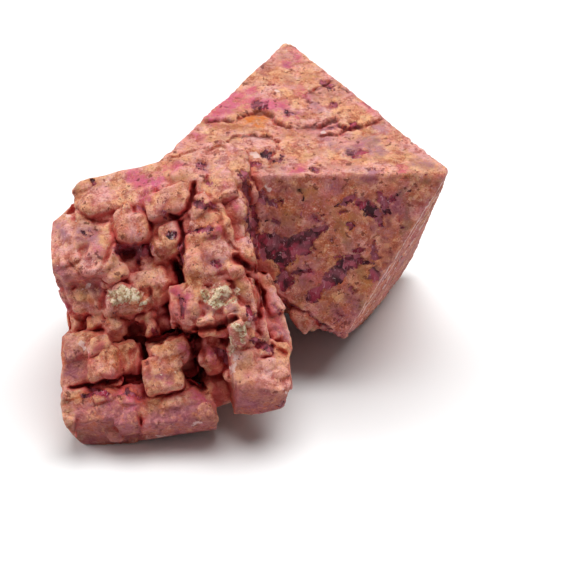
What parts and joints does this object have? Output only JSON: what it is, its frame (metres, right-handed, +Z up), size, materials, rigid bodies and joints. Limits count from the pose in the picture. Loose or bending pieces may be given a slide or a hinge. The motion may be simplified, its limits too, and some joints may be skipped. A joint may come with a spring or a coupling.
{
  "type": "spinel crystal",
  "caption": "Natural spinel specimen: a sharp octahedron grown together with a blocky, stepped crystal, under a weathered orange-pink crust that bares purple crystal.",
  "frame": {"origin": "bottom centre of the bounding box, on the table the specimen rests on", "axes": "+Z up; -Y towards the side that the stepped crystal and the large crystal's front face show; +X towards the large octahedron's free corner"},
  "size_m": [0.043, 0.0444, 0.0308],
  "materials": {
    "spinel": "rough weathered orange-pink crust with bare patches of dark purple crystal"
  },
  "bodies": {
    "root": {"spinel_crystal": "spinel"}
  },
  "joints": []
}
